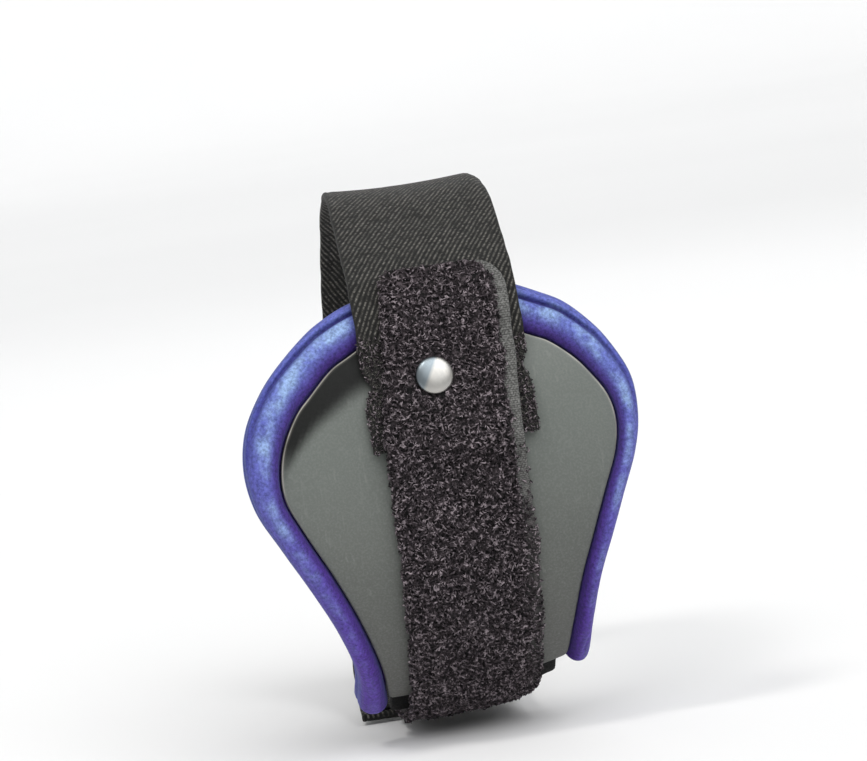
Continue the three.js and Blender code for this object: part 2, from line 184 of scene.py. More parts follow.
def outline_run():
    """The pad outline from the left tip over the top to the right tip, as x, along and rim width."""
    def side(sign, edge, roll):
        return [(sign * row[edge] * pad_half_width, pad_top - row[0] * pad_length, row[roll] * rim_width)
                for row in outline_rows]

    knots = np.array([*reversed(side(-1, 1, 3)), (0, pad_top, rim_width), *side(1, 2, 4)])
    knots = np.vstack([2 * knots[0] - knots[1], knots, 2 * knots[-1] - knots[-2]])
    share = np.linspace(0, 1, knot_steps, endpoint=False)[:, None]
    run = []
    for p0, p1, p2, p3 in zip(knots, knots[1:], knots[2:], knots[3:]):
        d0, d1, d2 = (np.linalg.norm(b - a) ** 0.5 for a, b in ((p0, p1), (p1, p2), (p2, p3)))
        t1 = ((p1 - p0) / d0 - (p2 - p0) / (d0 + d1) + (p2 - p1) / d1) * d1
        t2 = ((p2 - p1) / d1 - (p3 - p1) / (d1 + d2) + (p3 - p2) / d2) * d1
        bend = (-3 * p1 + 3 * p2 - 2 * t1 - t2) * share**2 + (2 * p1 - 2 * p2 + t1 + t2) * share**3
        run.append(p1 + t1 * share + bend)
    return np.vstack([*run, knots[-2]])


def even_run(run, count):
    """The same run with count points evenly spaced along it."""
    reach = reach_along(run[:, :2])
    spots = np.linspace(0, reach[-1], count)
    return np.stack([np.interp(spots, reach, run[:, k]) for k in range(run.shape[1])], axis=1)


def right_of(heading):
    """Unit steps to the right of each heading, which is inwards all along the pad outline."""
    heading = heading / np.linalg.norm(heading, axis=1, keepdims=True)
    return np.stack([heading[:, 1], -heading[:, 0]], axis=1)


rim_run = even_run(outline_run(), rim_steps)
rim_length = float(np.sum(steps(rim_run[:, :2])))
rim_inward = right_of(np.gradient(rim_run[:, :2], axis=0))
rim_distance = np.linspace(0, rim_length, rim_steps)
rim_from_tip = np.minimum(rim_distance, rim_length - rim_distance)


def seat_width(shows, from_tip):
    """Width of the rim's foot, which reaches under the edge of the plate and draws back at the two tips."""
    full = np.maximum(shows + rim_seat_reach, rim_seat)
    return shows + (full - shows) * smooth(from_tip / rim_seat_taper)


def inner_loop(inset, end, corner, spacing=0.5):
    """Closed line that lies inset inside the pad outline and is cut straight across at its lower end."""
    line = rim_run[:, :2] + rim_inward * inset[:, None]
    line = line[line[:, 1] > end]
    loop = np.vstack([[line[0][0], end], line, [line[-1][0], end], [line[0][0], end]])
    loop = even_run(loop, int(np.sum(steps(loop)) / spacing) + 1)[:-1]
    reach = int(round(corner / spacing))
    window = np.ones(2 * reach + 1) / (2 * reach + 1)
    padded_loop = np.vstack([loop[-reach:], loop, loop[:reach]])
    return np.stack([np.convolve(padded_loop[:, k], window, "valid") for k in (0, 1)], axis=1)


def inside_loop(points, loop):
    a, b = loop, np.roll(loop, -1, axis=0)
    x, y = points[:, :1], points[:, 1:]
    crosses = (a[:, 1] > y) != (b[:, 1] > y)
    slope = (b[:, 0] - a[:, 0]) / np.where(b[:, 1] == a[:, 1], 1e-9, b[:, 1] - a[:, 1])
    return (np.sum(crosses & (x < a[:, 0] + slope * (y - a[:, 1])), axis=1) % 2) == 1


def fill_loop(loop, hole, spacing):
    """Triangles between a closed line and the hole in it, as extra points and faces."""
    row_share, clear_share = 0.87, 0.6
    low, high = loop.min(axis=0), loop.max(axis=0)
    xs = np.arange(low[0], high[0], spacing)
    ys = np.arange(low[1], high[1], spacing * row_share)
    grid = np.array([(x + spacing / 2 * (j % 2), y) for j, y in enumerate(ys) for x in xs])
    grid = grid[inside_loop(grid, loop)]
    border = np.vstack([loop, hole])
    clear = np.min(np.linalg.norm(grid[:, None] - border[None], axis=2), axis=1) > spacing * clear_share
    grid = grid[clear & ~inside_loop(grid, hole)]
    points = np.vstack([border, grid])
    n, h = len(loop), len(hole)
    edges = [(i, (i + 1) % n) for i in range(n)] + [(n + i, n + (i + 1) % h) for i in range(h)]
    faces = np.array(delaunay_2d_cdt([Vector(p) for p in points], edges, [], 0, 1e-6)[2])
    centres = points[faces].mean(axis=1)
    return grid, faces[inside_loop(centres, loop) & ~inside_loop(centres, hole)].tolist()


def wall(first, second, count):
    """Faces that join two closed rings of count points, given the number of each ring's first point."""
    return [(first + j, first + (j + 1) % count, second + (j + 1) % count, second + j) for j in range(count)]


def put_in_scene(name, data):
    thing = bpy.data.objects.new(name, data)
    bpy.context.scene.collection.objects.link(thing)
    return thing


def mesh_piece(name, points, faces, uv, material):
    """A closed mesh with faces outwards, its flat pattern in millimetres as its UV map."""
    mesh = bpy.data.meshes.new(name)
    mesh.from_pydata([tuple(p) for p in points], [], [tuple(f) for f in faces])
    layer = mesh.uv_layers.new(name="pattern")
    corners = np.empty(len(mesh.loops), int)
    mesh.loops.foreach_get("vertex_index", corners)
    layer.data.foreach_set("uv", np.asarray(uv, float)[corners].ravel())
    work = bmesh.new()
    work.from_mesh(mesh)
    bmesh.ops.recalc_face_normals(work, faces=work.faces)
    work.to_mesh(mesh)
    work.free()
    mesh.shade_smooth()
    mesh.materials.append(material)
    return put_in_scene(name, mesh)


def add_values(piece, label, values):
    """One number for each point of a mesh, which its material or a tree can read."""
    layer = piece.data.attributes.new(label, "FLOAT", "POINT")
    layer.data.foreach_set("value", np.asarray(values, np.float32).ravel())


def pad_slab(name, loop, profile, hole_radius, spacing, material, relief=None, marks=()):
    """A slab over a closed line; profile rows are inset from it and height, from the inside face out."""
    inward = right_of(np.roll(loop, -1, axis=0) - np.roll(loop, 1, axis=0))
    turns = np.linspace(0, 2 * math.pi, hole_sides, endpoint=False)
    hole = np.stack([np.cos(turns), np.sin(turns)], axis=1) * hole_radius + [rivet_across, rivet_along]
    n, faces, hole_rings = len(loop), [], []
    flat = [loop + inward * inset for inset, _ in profile]
    heights = [np.full(n, height) for _, height in profile]
    for i in range(1, len(profile)):
        faces += wall((i - 1) * n, i * n, n)
    count = len(profile) * n
    for row in (0, len(profile) - 1):
        grid, filled = fill_loop(flat[row], hole, spacing)
        extra = np.vstack([hole, grid])
        index = np.concatenate([np.arange(row * n, row * n + n), np.arange(count, count + len(extra))])
        faces += [tuple(index[list(f)]) for f in filled]
        hole_rings.append(count)
        flat.append(extra)
        heights.append(np.full(len(extra), profile[row][1]))
        count += len(extra)
    faces += wall(*hole_rings, hole_sides)
    flat, heights = np.vstack(flat), np.concatenate(heights)
    if relief is not None:
        heights = heights + relief(flat, heights)
    piece = mesh_piece(name, place(*flat.T, heights), faces, flat, material)
    for label, mark in dict(marks).items():
        add_values(piece, label, mark(flat))
    return piece


def feed(tree, socket, value):
    """Links a socket to the output of a node, or sets it to a number or a colour."""
    if isinstance(value, bpy.types.NodeSocket):
        tree.links.new(value, socket)
    else:
        socket.default_value = (*value, 1) if socket.type == "RGBA" else value


def add_node(tree, kind, feeds=(), **options):
    """Adds a node with its options and what feeds its sockets, and returns its outputs."""
    node = tree.nodes.new(kind)
    for key, value in options.items():
        setattr(node, key, value)
    for socket, value in dict(feeds).items():
        feed(tree, node.inputs[socket], value)
    return node.outputs


class Shader:
    """A material under construction, with short calls for its nodes."""

    def __init__(self, name, body=()):
        self.material = bpy.data.materials.new(name)
        self.material.use_nodes = True
        self.tree = self.material.node_tree
        self.set_body(body)

    def set_body(self, values):
        for label, value in dict(values).items():
            feed(self.tree, self.tree.nodes["Principled BSDF"].inputs[label], value)

    def add(self, kind, feeds=(), **options):
        return add_node(self.tree, "ShaderNode" + kind, feeds, **options)

    def spot(self):
        return self.add("TexCoord")["Object"]

    def pattern(self):
        return self.add("UVMap", uv_map="pattern")[0]

    def value(self, label):
        return self.add("Attribute", attribute_name=label)["Fac"]

    def noise(self, where, scale, detail=2.0, roughness=0.5):
        return self.add("TexNoise", {"Vector": where, "Scale": scale, "Detail": detail,
                                     "Roughness": roughness})[0]

    def bricks(self, where, mortar, softness, width, row, offset):
        """Rows of bricks, 0 on a brick and 1 in the mortar."""
        return self.add("TexBrick", {"Vector": where, "Scale": 1.0, "Mortar Size": mortar,
                                     "Mortar Smooth": softness, "Brick Width": width, "Row Height": row},
                        offset=offset)["Fac"]

    def drawn(self, where, scale, rotation=(0.0, 0.0, 0.0)):
        return self.add("Mapping", {"Vector": where, "Rotation": rotation, "Scale": scale})[0]

    def between(self, source, low, high, top=1.0):
        return self.add("MapRange", {"Value": source, "From Min": low, "From Max": high, "To Max": top})[0]

    def lift(self, spot, low, high):
        """0 to 1 from the low to the high level, in metres."""
        return self.between(self.add("SeparateXYZ", {"Vector": spot})[2], low, high)

    def sum(self, operation, *terms):
        return self.add("Math", enumerate(terms), operation=operation)[0]

    def ramp(self, source, *stops):
        output = self.add("ValToRGB", {0: source})[0]
        elements = output.node.color_ramp.elements
        while len(elements) < len(stops):
            elements.new(0.5)
        for element, (position, colour) in zip(elements, stops):
            element.position = position
            element.color = (*colour, 1) if isinstance(colour, tuple) else (colour, colour, colour, 1)
        return output

    def curls(self, tangle, strength, width):
        """Thin crossing lines like stray curls of thread, drawn from a noise."""
        from_middle = self.sum("ABSOLUTE", self.sum("SUBTRACT", tangle, 0.5))
        return self.ramp(from_middle, (0.0, strength), (width, 0.0))

    def mix(self, factor, first, second, blend="MIX"):
        return self.add("Mix", {0: factor, 6: first, 7: second}, data_type="RGBA", blend_type=blend)[2]

    def done(self, colour, roughness, relief=None, depth=0.0, strength=1.0):
        """Feeds colour, roughness and a relief with its depth in metres, and returns the material."""
        self.set_body({"Base Color": colour, "Roughness": roughness})
        if relief is not None:
            bump = self.add("Bump", {"Height": relief, "Distance": depth, "Strength": strength})[0]
            self.set_body({"Normal": bump})
        return self.material


def srgb(*screen):
    """Linear colour from the 0 to 255 values that a screen shows."""
    return tuple((c / 255 / 12.92) if c < 11 else ((c / 255 + 0.055) / 1.055) ** 2.4 for c in screen)


def foam_finish():
    foam = Shader("black_foam", {"Specular IOR Level": 0.15})
    spot = foam.spot()
    cells = foam.add("TexVoronoi", {"Vector": spot, "Scale": 3200.0})["Distance"]
    shade = foam.ramp(foam.noise(spot, 140.0, 3.0), (0.3, srgb(6, 6, 7)), (0.75, srgb(17, 17, 18)))
    colour = foam.mix(0.7, shade, foam.ramp(cells, (0.0, 0.35), (0.5, 1.0)), "MULTIPLY")
    return foam.done(colour, foam.ramp(cells, (0.0, 0.98), (0.6, 0.8)), cells, 0.00012, 0.7)


foam_line = inner_loop(seat_width(rim_run[:, 2], rim_from_tip) + gap, foam_end, plate_corner)
foam_profile = [
    (foam_edge_round, 0.0), (foam_edge_round * 0.3, 0.15), (0.0, foam_edge_round),
    (0.0, foam_thickness - foam_edge_round), (foam_edge_round * 0.3, foam_thickness - 0.15),
    (foam_edge_round, foam_thickness),
]


def foam_relief(flat, heights):
    sink = 0.12 * grain(*flat.T, 6.0, 3) + 0.05 * grain(*flat.T, 1.6, 4)
    return np.where(heights < foam_thickness / 2, np.abs(sink), -np.abs(sink))


foam_pad = pad_slab("foam_pad_soft", foam_line, foam_profile, rivet_pocket_radius, 1.4, foam_finish(),
                    foam_relief)
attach(foam_pad, "root")
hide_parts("foam_pad")

# Rolled rim
# Soft foam piping bent into a horseshoe and covered in smooth blue-violet knit. A seam leaves a low ridge
# near its outer edge, the fabric puckers where the roll bends most, and its foot reaches under the plate.
rim_height = 6.6
rim_bluntness = 0.8
rim_end_round = 3.0
rim_foot_round = 1.0
rim_arc_steps = 61
seam_width = 0.42

seam_rows = np.array([
    # share of the roll from its left tip, place across it, depth in mm
    (0.0, 0.1, 0.0),
    (0.26, 0.1, 0.1),
    (0.31, 0.15, 0.7),
    (0.37, 0.25, 0.9),
    (0.44, 0.35, 1.1),
    (0.5, 0.4, 1.1),
    (0.58, 0.38, 1.1),
    (0.64, 0.32, 1.0),
    (0.7, 0.22, 0.7),
    (0.76, 0.14, 0.1),
    (1.0, 0.1, 0.0),
])

pucker_rows = [
    # share of the roll, place across it, half length and half width in mm, slant, depth in mm
    (0.285, 0.3, 4.2, 0.7, 0.85, 0.55),
    (0.297, 0.25, 3.6, 0.8, 0.95, 0.3),
    (0.272, 0.12, 3.0, 0.8, 1.25, 0.4),
    (0.345, 0.5, 2.4, 0.5, 0.3, 0.12),
    (0.375, 0.45, 2.4, 0.5, -0.3, 0.12),
    (0.66, 0.5, 2.4, 0.5, 0.4, 0.12),
    (0.7, 0.55, 2.0, 0.45, -0.4, 0.14),
    (0.965, 0.5, 2.4, 0.3, 1.4, 0.22),
    (0.955, 0.72, 2.2, 0.3, 1.4, 0.16),
    (0.03, 0.5, 2.6, 0.4, 1.4, 0.14),
]


def knit_finish():
    knit = Shader("blue_knit", {"Sheen Weight": 0.2, "Sheen Roughness": 0.45,
                                "Sheen Tint": srgb(150, 185, 235), "Specular Tint": srgb(190, 205, 245)})
    spot, inner = knit.spot(), knit.value("inner")
    lift = knit.lift(spot, -0.038, 0.014)
    fibre = knit.noise(spot, 1700.0, 3.0, 0.65)
    streak = knit.noise(knit.drawn(knit.pattern(), (1.0, 0.22, 1.0)), 1.1, 3.0, 0.6)
    blotch = knit.ramp(knit.noise(spot, 210.0, 3.0, 0.6), (0.38, 0.1), (0.62, 1.0))
    # painted light: the knit is lighter and bluer towards the top and darker and more violet towards the
    # bottom
    low = knit.mix(streak, srgb(56, 24, 110), srgb(92, 52, 160))
    high = knit.mix(streak, srgb(60, 58, 146), srgb(106, 118, 190))
    # painted highlight: a light lilac-blue band on the crown of the roll, patchy and strongest towards the
    # top
    crown = knit.ramp(inner, (0.18, 0.0), (0.42, 1.0), (0.58, 1.0), (0.8, 0.0))
    painted_highlight = knit.sum("MULTIPLY", crown, blotch)
    painted_highlight = knit.sum("MULTIPLY", painted_highlight, knit.sum("MULTIPLY_ADD", lift, 0.7, 0.08))
    body = knit.mix(painted_highlight, knit.mix(lift, low, high), srgb(146, 174, 210))
    # painted shade: the inner side of the roll, next to the plate, is darkened to deep violet
    body = knit.mix(knit.ramp(inner, (0.6, 0.0), (0.92, 0.9)), body, srgb(62, 28, 112))
    # painted shade: the outer edge of the roll, where it turns down, is darkened to navy
    body = knit.mix(knit.ramp(inner, (0.0, 0.75), (0.12, 0.0)), body, srgb(36, 36, 124))
    # painted shade: the knit is darkened to deep violet in the seam crease
    body = knit.mix(knit.value("crease"), body, srgb(34, 16, 92))
    speck = knit.ramp(fibre, (0.34, 0.62), (0.68, 1.4))
    return knit.done(knit.mix(1.0, body, speck, "MULTIPLY"), knit.ramp(streak, (0.3, 0.55), (0.7, 0.75)),
                     knit.sum("MULTIPLY_ADD", fibre, 0.6, streak), 0.00016, 0.8)


def rim_foot(start, width, seat, fullness):
    """Underside of one rim section, from beside the plate to its outer edge, as place across and height."""
    shelf, corner, inner = foam_thickness * fullness, rim_foot_round * fullness, start + seat
    return np.array([
        (start + width + (seat - width) * 0.5, shelf), (inner - corner * 0.3, shelf),
        (inner, shelf - corner * 0.3), (inner, corner), (inner - corner * 0.3, corner * 0.3),
        (inner - corner, 0), (start + seat * 0.5, 0), (start + corner, 0),
        (start + corner * 0.3, corner * 0.3), (start - 0.15 * fullness, corner),
        (start - 0.3 * fullness, shelf * 0.55), (start - 0.2 * fullness, shelf * 0.85),
    ])


def pucker_depth(share, across, shows):
    """Depth in mm of all puckers together at places across one rim section."""
    total = 0
    for at, place_across, length, width, slant, depth in pucker_rows:
        off_along = (share - at) * rim_length
        off_across = (across - place_across) * shows
        run = off_along * math.sin(slant) + off_across * math.cos(slant)
        side = -off_along * math.cos(slant) + off_across * math.sin(slant)
        total = total + depth * np.exp(-((run / length) ** 2) - (side / width) ** 2)
    return total


def rim_piece():
    arc = np.linspace(0, math.pi, rim_arc_steps)
    across, hump = (1 - np.cos(arc)) / 2, np.sin(arc)
    tip = np.array([0, 0.06, 0.25, 0.5])
    spread = np.concatenate([tip, rim_distance[rim_from_tip > 0.8], rim_length - tip[::-1]])
    rings, uvs, creases = [], [], []
    for spot in spread:
        share, from_tip = spot / rim_length, min(spot, rim_length - spot)
        x, along, shows = (np.interp(spot, rim_distance, rim_run[:, k]) for k in range(3))
        inward = [np.interp(spot, rim_distance, rim_inward[:, k]) for k in (0, 1)]
        fullness = max(math.sqrt(1 - (1 - min(from_tip / rim_end_round, 1)) ** 2), 0.05)
        width = shows * fullness
        seat = float(seat_width(shows, from_tip)) * fullness
        start = shows * (1 - fullness) / 2
        seam_at, seam_depth = (np.interp(share, seam_rows[:, 0], seam_rows[:, k]) for k in (1, 2))
        from_seam = (across - seam_at) * shows
        crease = seam_depth * bell(from_seam, seam_width)
        ledge = 0.35 * seam_depth * (1 - smooth(from_seam + 0.5)) * hump
        lip = 0.25 * seam_depth * bell(from_seam + 0.95, 0.5)
        wave = 0.14 * grain(across * shows, spot, 7.0, 11) + 0.05 * grain(across * shows, spot, 2.6, 12)
        rise = (rim_height - foam_thickness) * fullness * hump.clip(0) ** rim_bluntness
        rise = rise - (crease + ledge - lip) * fullness - pucker_depth(share, across, shows) * hump
        rise = rise + wave * hump * fullness
        top = np.stack([start + width * across, foam_thickness * fullness + rise], axis=1)
        foot = rim_foot(start, width, seat, fullness)
        ring = np.vstack([top, foot])
        rings.append(place(x + inward[0] * ring[:, 0], along + inward[1] * ring[:, 0], ring[:, 1]))
        uvs.append(np.stack([reach_along(ring), np.full(len(ring), spot)], axis=1))
        creases.append(np.append(0.9 * seam_depth * bell(from_seam, 0.5), np.zeros(len(foot))))
    size = len(rings[0])
    points, uv, faces = np.vstack(rings), np.vstack(uvs), []
    for i in range(1, len(rings)):
        faces += wall((i - 1) * size, i * size, size)
    for row in (0, len(rings) - 1):
        faces += [(row * size + j, row * size + (j + 1) % size, len(points)) for j in range(size)]
        points = np.vstack([points, rings[row].mean(axis=0)])
        uv = np.vstack([uv, uvs[row].mean(axis=0)])
    piece = mesh_piece("pad_rim_roll", points, faces, uv, knit_finish())
    shares = np.concatenate([across, np.linspace(1, 0, size - len(arc))])
    add_values(piece, "inner", np.append(np.tile(shares, len(rings)), (0.5, 0.5)))
    # crease marks where the painted shade in the seam falls
    add_values(piece, "crease", np.append(np.concatenate(creases), (0.0, 0.0)))
    return piece


pad_rim = rim_piece()
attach(pad_rim, "root")
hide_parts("pad_rim")

# Shell plate
# Half-stiff grey plastic, die cut from sheet and bent to the worn curve, seated inside the rim. Its edge is
# eased all round with a thin painted highlight along it, painted shade darkens it beside the rim at the upper
# left, painted light makes its grey lighter towards the top, and its face has a fine grain with light scuffs.
plate_thickness = 1.5
plate_end = -47.8
plate_inside = foam_thickness + gap
plate_outside = plate_inside + plate_thickness
rivet_hole_radius = 1.8
painted_shade_width = 9.5
bright_line_in = 0.24
bright_line_width = 0.12


def plastic_finish():
    plastic = Shader("grey_plastic", {"Coat Roughness": 0.3})
    spot, dark = plastic.spot(), plastic.value("painted_rim_shade")
    cloud = plastic.noise(spot, 45.0, 3.0)
    speck = plastic.noise(spot, 2600.0)
    scuff = plastic.noise(plastic.drawn(spot, (1.0, 1.0, 0.12)), 900.0, 5.0)
    # painted light: the grey is lighter towards the top and darker towards the bottom
    low = plastic.mix(cloud, srgb(76, 76, 73), srgb(88, 88, 84))
    high = plastic.mix(cloud, srgb(94, 99, 95), srgb(106, 111, 106))
    body = plastic.mix(plastic.lift(spot, -0.046, 0.004), low, high)
    body = plastic.mix(plastic.ramp(speck, (0.42, 0.0), (0.75, 0.3)), body, srgb(128, 131, 128))
    body = plastic.mix(plastic.ramp(scuff, (0.62, 0.0), (0.75, 0.25)), body, srgb(140, 142, 139))
    # painted shade: the plastic is darkened along the rim at the upper left, and its shine is lowered there
    body = plastic.mix(dark, body, srgb(16, 15, 16))
    plastic.set_body({"Specular IOR Level": plastic.ramp(dark, (0.0, 0.3), (1.0, 0.07)),
                      "Coat Weight": plastic.ramp(dark, (0.0, 0.05), (1.0, 0.0))})
    # painted highlight: a light line along the plate's eased edge
    return plastic.done(plastic.mix(plastic.value("painted_edge_highlight"), body, srgb(210, 206, 194)),
                        plastic.ramp(scuff, (0.35, 0.42), (0.75, 0.58)), speck, 0.00004, 0.5)


plate_line = inner_loop(rim_run[:, 2] + gap, plate_end, plate_corner)
plate_profile = [
    (0.4, plate_inside), (0.1, plate_inside + 0.1), (0.0, plate_inside + 0.4),
    (0.0, plate_outside - 0.5), (0.08, plate_outside - 0.25), (0.22, plate_outside - 0.08),
    (0.42, plate_outside + 0.03), (0.7, plate_outside + 0.03),
]


def from_plate_edge(flat, every):
    return np.min(np.linalg.norm(flat[:, None] - plate_line[None, ::every], axis=2), axis=1)


def painted_rim_shade(flat):
    """Painted shade on the plastic along the rim, widest beside the strap at the upper left."""
    x, along = flat.T
    width = 1.0 + painted_shade_width * np.clip((along - 1) / 21, 0, 1)
    shade_band = smooth(1.25 * (1.35 - from_plate_edge(flat, 4) / width))
    return 0.93 * shade_band * smooth((-x - 4) / 4) * smooth((along + 2) / 9)


def painted_edge_highlight(flat):
    """Painted highlight: a thin bright line along the eased edge, clearest round the top."""
    painted_highlight = 0.62 + 0.38 * grain(*flat.T, 2.2, 31)
    line = bell(from_plate_edge(flat, 1) - bright_line_in, bright_line_width)
    return painted_highlight * line * smooth((flat[:, 1] + 18) / 30)


shell_plate = pad_slab("shell_plate_moulded", plate_line, plate_profile, rivet_hole_radius, 1.0,
                       plastic_finish(), marks={"painted_rim_shade": painted_rim_shade, "painted_edge_highlight": painted_edge_highlight})
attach(shell_plate, "root")
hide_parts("shell_plate")

# Loop strap
# One-inch tape with a brushed loop pile, woven in charcoal nylon. It lies on top of the elastic, runs down
# over the plate and round the underside, and keeps a plain woven edge without pile on its right side.
elastic_thickness = 1.5
elastic_front_end = 3.0
elastic_back_end = 75.0
loop_width = 25.4
loop_thickness = 2.4
loop_pressed = 1.4
loop_top_end = 32.0
loop_back_end = -125.0
loop_taut_reach = 28.0
loop_left_corner = 2.5
loop_right_corner = 5.5
loop_drop = 4.0
press_lead = 8.0
press_run = 10.0
loop_base = 1.5
selvage_width = 2.5
selvage_height = 1.15
dent_depth = 0.5
dent_radius = 4.4

on_plate = plate_outside + gap
on_rim = rim_height + gap
crest_start = pad_top - rim_width - 2
rise_start = crest_start - 4.5
crest_end = pad_top - rim_width / 3

loop_lean = np.array([
    # share of the strap's reach, centre and width as shares of loop_width
    (-1, -0.17, 1),
    (-0.6, -0.14, 0.97),
    (-0.45, -0.105, 0.93),
    (-0.34, -0.065, 0.95),
    (-0.24, -0.036, 0.985),
    (-0.12, -0.012, 1),
    (0.1, -0.012, 1.01),
    (0.62, 0.047, 0.95),
    (1, 0.08, 0.92),
])

loop_heights = np.array([
    # along, height of the strap's inside over foam, plate and elastic
    (foam_end, foam_thickness + gap),
    (plate_end, on_plate),
    (elastic_front_end - loop_drop, on_plate),
    (elastic_front_end, on_plate + elastic_thickness + gap),
    (rise_start, on_plate + elastic_thickness + gap),
    (crest_start, on_rim + elastic_thickness + gap),
])


def eased(rows, column, at):
    """Reads a table, easing smoothly from row to row."""
    i = np.clip(np.searchsorted(rows[:, 0], at) - 1, 0, len(rows) - 2)
    share = smooth((at - rows[i, 0]) / (rows[i + 1, 0] - rows[i, 0]))
    return rows[i, column] + share * (rows[i + 1, column] - rows[i, column])


def taut_height(distance, reach, step):
    """Height of a strap pulled taut as it comes down from a step."""
    left = np.clip(1 - distance / reach, 0, 1)
    return inside_gap + (step - inside_gap) * left**2


def loop_inside(along):
    below = taut_height(foam_end - along, loop_taut_reach, foam_thickness + gap)
    return np.where(along < foam_end, below, eased(loop_heights, 1, along))


def pressed(along):
    """How far the hooks press the pile flat, from 0 to 1."""
    return smooth((press_lead - elastic_back_end - along) / press_run)


def loop_full(along):
    return loop_thickness + pressed(along) * (loop_pressed - loop_thickness)


def corner_cut(distance, radius):
    near = np.clip(radius - distance, 0, radius)
    return radius - np.sqrt(radius**2 - near**2)


def band_rows(start, stop, step):
    """Places along a band from start to stop, closer together at both ends."""
    sign = 1 if stop > start else -1
    return np.concatenate([
        start + sign * np.array([0, 0.08, 0.25, 0.5, 0.9]),
        np.arange(start + sign * 1.3, stop - sign * 0.6, sign * step),
        stop - sign * np.array([0.5, 0.25, 0.08, 0]),
    ])


def across_steps(count, edge_share):
    """Places across a band from 0 to 1, closer together at both edges."""
    inner = np.linspace(edge_share, 1 - edge_share, count)
    rim = edge_share * (1 - np.cos(np.linspace(0, math.pi / 2, 5)))[:-1]
    return np.concatenate([rim, inner, 1 - rim[::-1]])


def between_sides(left, right, across):
    """x of each place, and its distance from the nearer side of the band."""
    x = left[:, None] + (right - left)[:, None] * across
    return x, np.minimum(x - left[:, None], right[:, None] - x)


def band_mesh(name, along, left, right, inside, outside, across, edge, material, attributes=()):
    """A closed band from rows along it; inside and outside are heights of its faces, edge its rounding."""
    x, from_edge = between_sides(left, right, across)
    from_end = np.minimum(np.abs(along - along[0]), np.abs(along - along[-1]))[:, None]
    near = np.minimum(np.clip(from_edge / edge, 0, 1), np.clip(from_end / (edge * 0.6), 0, 1))
    tuck = edge * (1 - np.sqrt(1 - (1 - near) ** 2))
    top = place(x, along[:, None], outside - tuck)
    bottom = place(x, along[:, None], inside + tuck)
    centre = (left + right)[:, None] / 2
    flat = np.stack([x - centre, np.broadcast_to(along[:, None], x.shape)], axis=-1).reshape(-1, 2)
    below = x.size
    cell = np.arange(below).reshape(x.shape)
    quads = np.stack([cell[:-1, :-1], cell[:-1, 1:], cell[1:, 1:], cell[1:, :-1]], axis=-1).reshape(-1, 4)
    border = np.concatenate([cell[0, :-1], cell[:-1, -1], cell[-1, :0:-1], cell[:0:-1, 0]])
    following = np.roll(border, -1)
    rim = np.stack([following, border, border + below, following + below], axis=-1)
    faces = quads.tolist() + (quads[:, ::-1] + below).tolist() + rim.tolist()
    points = np.vstack([top.reshape(-1, 3), bottom.reshape(-1, 3)])
    piece = mesh_piece(name, points, faces, np.vstack([flat, flat]), material)
    for key, values in dict(attributes).items():
        add_values(piece, key, np.concatenate([values.ravel(), np.zeros(below)]))
    return piece


def toned(colour, share):
    return tuple(c * share for c in colour)


def pile_finish(name, dark, middle, light, bare=None, grain_size=1150.0):
    """Nylon pile. Where bare is given, it is the colour of the plain woven edge that has no pile."""
    pile = Shader(name, {"Specular IOR Level": 0.12, "Sheen Weight": 0.02, "Sheen Roughness": 0.5})
    spot = pile.spot()
    tangle = pile.noise(spot, grain_size, 2.0, 0.6)
    patch = pile.ramp(pile.noise(spot, 560.0), (0.4, 0.7), (0.58, 1.2))
    body = pile.ramp(tangle, (0.38, dark), (0.5, middle), (0.64, light))
    body = pile.mix(1.0, body, patch, "MULTIPLY")
    if bare is not None:
        body = pile.mix(pile.curls(tangle, 0.8, 0.03), body, toned(light, 0.55))
        fleck = pile.noise(spot, 2400.0)
        woven = pile.mix(pile.bricks(pile.pattern(), 0.1, 1.0, 0.62, 0.36, 0.5), bare, toned(bare, 0.3))
        woven = pile.mix(pile.ramp(fleck, (0.5, 0.0), (0.68, 0.5)), woven, toned(bare, 2.0))
        woven = pile.mix(pile.ramp(fleck, (0.32, 0.7), (0.44, 0.0)), woven, toned(bare, 0.35))
        body = pile.mix(pile.value("bare"), body, woven)
    return pile.done(body, pile.ramp(tangle, (0.3, 0.6), (0.7, 0.85)), tangle, 0.0003, 0.9)


def loop_tape():
    along = band_rows(loop_top_end, loop_back_end, 0.45)
    run, from_top = along[:, None], loop_top_end - along
    share = np.where(along > 0, along / loop_top_end, along / -loop_back_end)
    centre = eased(loop_lean, 1, share) * loop_width
    half = eased(loop_lean, 2, share) * loop_width / 2
    wander = 0.12 * grain(along, along * 0, 4.0, 21)
    left = centre - half + corner_cut(from_top, loop_left_corner) + wander
    right = centre + half - corner_cut(from_top, loop_right_corner) + wander
    across = across_steps(62, 0.02)
    x, _ = between_sides(left, right, across)
    ragged = 0.35 * grain(x * 0, run, 0.8, 24)
    bare = smooth((x - (right[:, None] - selvage_width) + ragged) / 0.4)
    bare = bare * (1 - 0.75 * smooth((-run + 4) / 24))
    nap = 0.3 * grain(x, run, 0.9, 22) + 0.2 * grain(x, run, 2.1, 23)
    pile_top = np.minimum(loop_base + 0.25, loop_full(run) - 0.2) + nap * (1 - 0.7 * pressed(run))
    inside = loop_inside(run)
    outside = inside + pile_top * (1 - bare) + (selvage_height + 0.02 * np.sin(run * 9)) * bare
    from_rivet = np.hypot(x - rivet_across, run - rivet_along)
    outside = outside - dent_depth * np.exp(-((from_rivet / dent_radius) ** 4))
    hidden = smooth((-run - elastic_back_end + 4) / 6)
    end_fade = smooth(from_top[:, None] / 0.8)
    tufted = (1 - bare) * (1 - hidden) * end_fade * (from_rivet > 3.6)
    finish = pile_finish("charcoal_pile", srgb(10, 9, 10), srgb(28, 25, 27), srgb(74, 67, 70),
                         srgb(104, 104, 102))
    return band_mesh("loop_strap_tape", along, left, right, inside, outside, across, 0.45, finish,
                     {"pile": tufted, "bare": bare})


